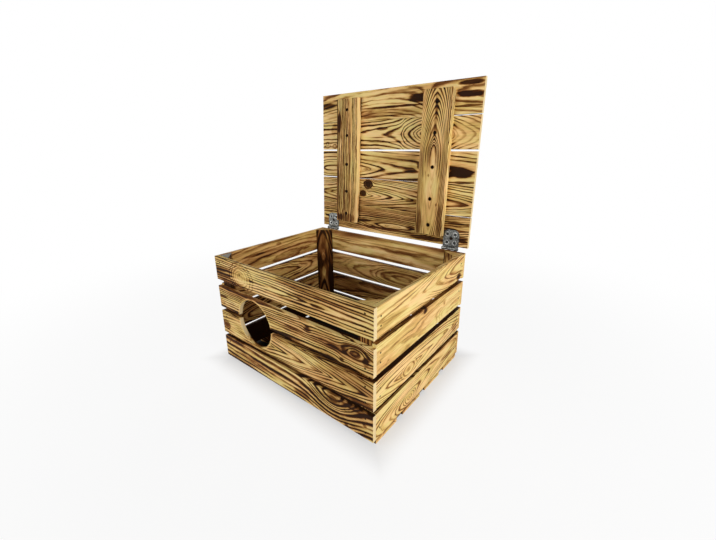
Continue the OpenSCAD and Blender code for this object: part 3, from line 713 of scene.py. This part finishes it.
# Lid battens; along runs up the open lid and across runs left from the batten's right edge
battens = [
    {
        "side": "left", "right": -100, "seed": 71, "ring": 6.0, "line": 1.4, "wave": 1.3, "char": 0.06,
        "wash": 0.9,
        "heart": [(0, 24, -30), (180, 26, -34), (357, 24, -30)],
        "scorch": [
            (170, 38, 75, 44, -0.05), (50, 38, 50, 44, 0.04), (292, 68, 28, 9, 0.6), (250, 74, 30, 5, 0.45),
            (345, 66, 22, 8, -0.4), (236, 64, 14, 6, -0.3), (12, 40, 16, 40, 0.25), (100, 73, 90, 5, 0.4),
            (60, 50, 60, 3, 0.2), (200, 40, 140, 2, 0.2), (12, 60, 10, 12, 0.3), (338, 62, 30, 1.6, 0.5),
        ],
    },
    {
        "side": "right", "right": 183, "seed": 72, "ring": 3.4, "line": 1.4, "thin": 1.1, "point": 1.6,
        "wave": 0.3, "char": 0.09, "wash": 0.7,
        "heart": [
            (0, 26, 38), (60, 20, 38), (130, 14, 38), (200, 7, 39), (240, 16, 39), (275, 24, 39), (320, 34, 39),
            (357, 42, 39),
        ],
        "knots": [(153, 48, 3, 5, 1, 0.4), (80, 20, 3, 5, 1, 0.3)],
        "plain": [(105, 40, 100, 32, 0.85), (290, 72, 90, 9, 0.6)],
        "scorch": [
            (290, 38, 80, 44, -0.06), (140, 40, 60, 26, -0.12), (280, 38, 50, 5, 0.25), (320, 38, 30, 6, 0.15),
            (40, 8, 50, 8, 0.3), (30, 66, 40, 8, 0.3),
        ],
    },
]
# darker spots are painted on the wood round the batten screws
screwMarks = {"along": (26, 94, 174, 256, 327), "spot": (38.5, 5.2, 5.2, 0.9)}  # the wood round the screws
screwSpots = [(along, *screwMarks["spot"]) for along in screwMarks["along"]]
for batten in battens:
    start = Vector((batten["right"], *lid["axis"])) + upLid * lid["battenLow"] + outLid * lid["battenOut"]
    pine = {**batten, "scorch": batten["scorch"] + screwSpots, "edge": -0.3}
    place = boardFrame(start, upLid, (-1, 0, 0))
    dress("lid_batten_" + batten["side"], flamedPine(f"battenPine{batten['seed']}", place, pine))
print("lid")


# Zinc hinges and steel fasteners, in metres, with cloudy zinc, painted shade in the recesses of the screw heads and
# round the hinges' holes, screws and barrels, painted glints round the screws and a painted highlight on the
# pressed rings
hinge = {
    "apart": 0.205, "axis": (0, 0.204, 0.3035), "leafTop": 0.004,
    "hole": 0.026, "screwsSide": 0.0105, "screwsUp": 0.011,
    # the pressed ring, then where the painted shade fades round the hole, the screws and the barrel, the painted
    # glint round each screw, and the colours of the painted glint, of the painted shade on the leaves and of the
    # painted shade in the screws' recesses
    "ring": 0.0072, "ringWide": (0.0002, 0.0014), "holeShade": (0.0034, 0.0052), "screwShade": (0.0028, 0.0046),
    "barrel": 0.0048, "barrelShade": (0.0002, 0.0011), "glint": 0.0052, "glintWide": (0.0003, 0.0014),
    "glintColour": (236, 238, 236), "leafShadeColour": (22, 22, 22), "recessShadeColour": (30, 30, 30),
}
metals = {
    "clouds": (0.36, 0.64), "cloudDull": 0.8, "speck": 0.0009, "speckDull": 0.7, "cloudRough": 0.2,
    # how bright the painted highlight on the ring is and how high the ring stands, where the painted glints show,
    # and the shares of painted glint and painted shade
    "ringBright": 0.5, "ringHigh": 4, "glintIn": (0.4, 0.7), "glintShare": 0.85, "leafShadeShare": 0.85,
    "relief": 0.0003, "reliefStrength": 0.4, "recess": (-0.0009, -0.0001),
}


def metal(name, bright, dull, rough, metallic, cloudSize, recess=None, leaf=False):
    t, bright, dull = newMaterial(name), (*fromScreen(*bright), 1), (*fromScreen(*dull), 1)
    place = t.source("ShaderNodeTexCoord", "Object")
    cloud = t.noise(place.stretched((cloudSize,) * 3), 4, 0.6).smooth(*metals["clouds"])
    speck = t.noise(place.stretched((metals["speck"],) * 3), 3, 0.6)
    dullness = cloud * metals["cloudDull"] + (speck - 0.5) * metals["speckDull"]
    colour = t.blend(dullness.clamped(), bright, dull)
    height = speck + cloud
    if leaf:  # a pressed ring round the hole, painted brighter as a highlight; painted shade round the hole, the screws and the barrel; and a painted glint round each screw
        x, _, z = place.parts()
        fromAxis, side = (z - hinge["axis"][2]).calc("ABSOLUTE"), x.calc("ABSOLUTE") - hinge["apart"]
        upHole = fromAxis - hinge["hole"]
        fromHole = (side * side + upHole * upHole) ** 0.5
        screwSide = side.calc("ABSOLUTE") - hinge["screwsSide"]
        screwUp = upHole.calc("ABSOLUTE") - hinge["screwsUp"]
        fromScrew = (screwSide * screwSide + screwUp * screwUp) ** 0.5
        fromBarrel = (fromAxis - hinge["barrel"]).calc("ABSOLUTE")
        ring = 1 - (fromHole - hinge["ring"]).calc("ABSOLUTE").smooth(*hinge["ringWide"])
        unshadedLeaf = fromHole.smooth(*hinge["holeShade"]) * fromScrew.smooth(*hinge["screwShade"])
        leafShade = 1 - unshadedLeaf * fromBarrel.smooth(*hinge["barrelShade"])
        glint = 1 - (fromScrew - hinge["glint"]).calc("ABSOLUTE").smooth(*hinge["glintWide"])
        glint = glint * cloud.smooth(*metals["glintIn"])
        colour = t.blend(ring * metals["ringBright"], colour, bright)
        colour = t.blend(glint * metals["glintShare"], colour, (*fromScreen(*hinge["glintColour"]), 1))
        colour = t.blend(leafShade * metals["leafShadeShare"], colour, (*fromScreen(*hinge["leafShadeColour"]), 1))
        height = height + ring * metals["ringHigh"]
    if recess:  # a plane, as a point on it and the way that the screw heads face; below it the cross recesses are painted dark as painted shade
        point, outward = recess
        planeAt = Vector(point).dot(outward)
        depth = t.node("ShaderNodeVectorMath", {"operation": "DOT_PRODUCT"}, {0: place, 1: outward}, 1) - planeAt
        colour = t.blend(depth.smooth(*metals["recess"]), (*fromScreen(*hinge["recessShadeColour"]), 1), colour)
    relief = t.node("ShaderNodeBump", {}, {
        "Strength": metals["reliefStrength"], "Distance": metals["relief"], "Height": height,
    })
    return t.finish(t.node("ShaderNodeBsdfPrincipled", {}, {
        "Base Color": colour, "Metallic": metallic, "Roughness": cloud * metals["cloudRough"] + rough,
        "Normal": relief,
    }))


axis, leafTop = Vector(hinge["axis"]), hinge["leafTop"]  # the leaves' outer faces are level with the barrel
backwards = Vector(back)
screwZinc = ((246, 246, 242), (190, 192, 190), 0.3, 0.35, 0.003)
zinc = metal("zinc", (123, 124, 120), (24, 25, 25), 0.28, 1.0, 0.0045, leaf=True)
lidZinc = metal("lidScrewZinc", *screwZinc, (axis + outLid * leafTop, outLid))
boxZinc = metal("boxScrewZinc", *screwZinc, (axis + backwards * leafTop, backwards))
steel = metal("darkSteel", (26, 22, 20), (10, 8, 7), 0.7, 1.0, 0.003)
for side in ("left", "right"):
    for part in ("lid_leaf", "box_leaf", "pin"):
        dress(f"hinge_{side}_{part}", zinc)
dress("lid_leaf_screws", lidZinc)
dress("box_leaf_screws", boxZinc)
for node in ("batten_screws", "front_nails", "back_nails", "left_nails", "right_nails", "bottom_nails"):
    dress(node, steel)
print("metal")


# Studio: a white floor that keeps the object's shadow, with painted shadow under the crate, and soft lamps
#   floor, shade: how pale the floor is, and how pale its painted shadow under the crate is
#   under: half the width and depth of the painted shadow under the crate, and how soft its edge is
#   glow: the share of plain white that the camera sees everywhere, beside the crate and far off
#   notch: a painted shadow on the floor just out of the left wall's front notch, which shows through the hole, dark
#       as far as notchLong and notchWide
#   lamps: name, place, size and watts
studio = {
    "size": 12, "drop": 0.0004, "floor": 0.8, "shade": 0.04, "sky": 0.1,
    "under": (0.244, 0.188, 0.003), "near": 0.07, "far": (0.45, 1.5), "glow": (0.5, 0.4, 0.1),
    "notch": (-0.247, -0.092), "notchLong": (0.008, 0.013), "notchWide": (0.02, 0.026), "lampsLookAt": (0, 0, 0.3),
    "lamps": [
        ("side", (2.1, -0.4, 0.8), 1.0, 29.3),
        ("front", (-1.1, -2.15, 1.0), 1.8, 29.5),
        ("back", (-0.9, 2.1, 1.2), 1.6, 20),
    ],
}


def buildFloor(s):
    mesh = bmesh.new()
    bmesh.ops.create_grid(mesh, x_segments=2, y_segments=2, size=s["size"])
    bmesh.ops.translate(mesh, verts=mesh.verts, vec=(0, 0, -s["drop"]))
    data = bpy.data.meshes.new("floor")
    mesh.to_mesh(data)
    mesh.free()
    floor = bpy.data.objects.new("floor", data)
    bpy.context.scene.collection.objects.link(floor)
    t = newMaterial("floorWhite")
    ground = t.source("ShaderNodeTexCoord", "Object")
    distance = t.node("ShaderNodeVectorMath", {"operation": "LENGTH"}, {0: ground}, 1)
    x, y, _ = ground.parts()
    halfX, halfY, soft = s["under"]
    outside = (x.calc("ABSOLUTE") - halfX).calc("MAXIMUM", y.calc("ABSOLUTE") - halfY)
    (notchX, notchY), long, wide = s["notch"], s["notchLong"], s["notchWide"]
    notch = (1 - (y - notchY).calc("ABSOLUTE").smooth(*wide)) * (1 - (x - notchX).calc("ABSOLUTE").smooth(*long))
    # 0 where shadow is painted on the floor: under the crate, and just out of the front notch on its left, which
    #                                         shows through the hole
    clear = outside.smooth(0.0, soft) * (1 - notch)
    always, near, far = s["glow"]
    glow = distance.smooth(*s["far"]) * far + outside.smooth(0.0, s["near"]) * near + always
    shade, white = (s["shade"],) * 3 + (1,), (s["floor"],) * 3 + (1,)
    matt = t.node("ShaderNodeBsdfDiffuse", {}, {"Color": t.blend(clear, shade, white)})
    bright = t.node("ShaderNodeEmission", {}, {"Color": (1, 1, 1, 1), "Strength": 1.0})
    mixed = t.node("ShaderNodeMixShader", {}, {0: t.seenRays() * clear * glow, 1: matt, 2: bright})
    data.materials.append(t.finish(mixed))


def buildSky(s):  # white where it is seen, and faint as a light
    t = Tree(bpy.data.worlds.new("sky"))
    faint = t.node("ShaderNodeBackground", {}, {"Color": (1, 1, 1, 1), "Strength": s["sky"]})
    bright = t.node("ShaderNodeBackground", {}, {"Color": (1, 1, 1, 1), "Strength": 1.0})
    mixed = t.node("ShaderNodeMixShader", {}, {0: t.seenRays(), 1: faint, 2: bright})
    bpy.context.scene.world = t.finish(mixed, "World")


def placeLamps(s):
    for name, place, size, power in s["lamps"]:
        lamp = bpy.data.lights.new(name, "AREA")
        lamp.shape, lamp.size, lamp.energy = "DISK", size, power
        stand = bpy.data.objects.new(name, lamp)
        stand.location = place
        stand.rotation_euler = (Vector(s["lampsLookAt"]) - Vector(place)).to_track_quat("-Z", "Y").to_euler()
        bpy.context.scene.collection.objects.link(stand)


buildFloor(studio)
buildSky(studio)
placeLamps(studio)
bpy.context.scene.view_settings.view_transform = "Standard"
print("studio")
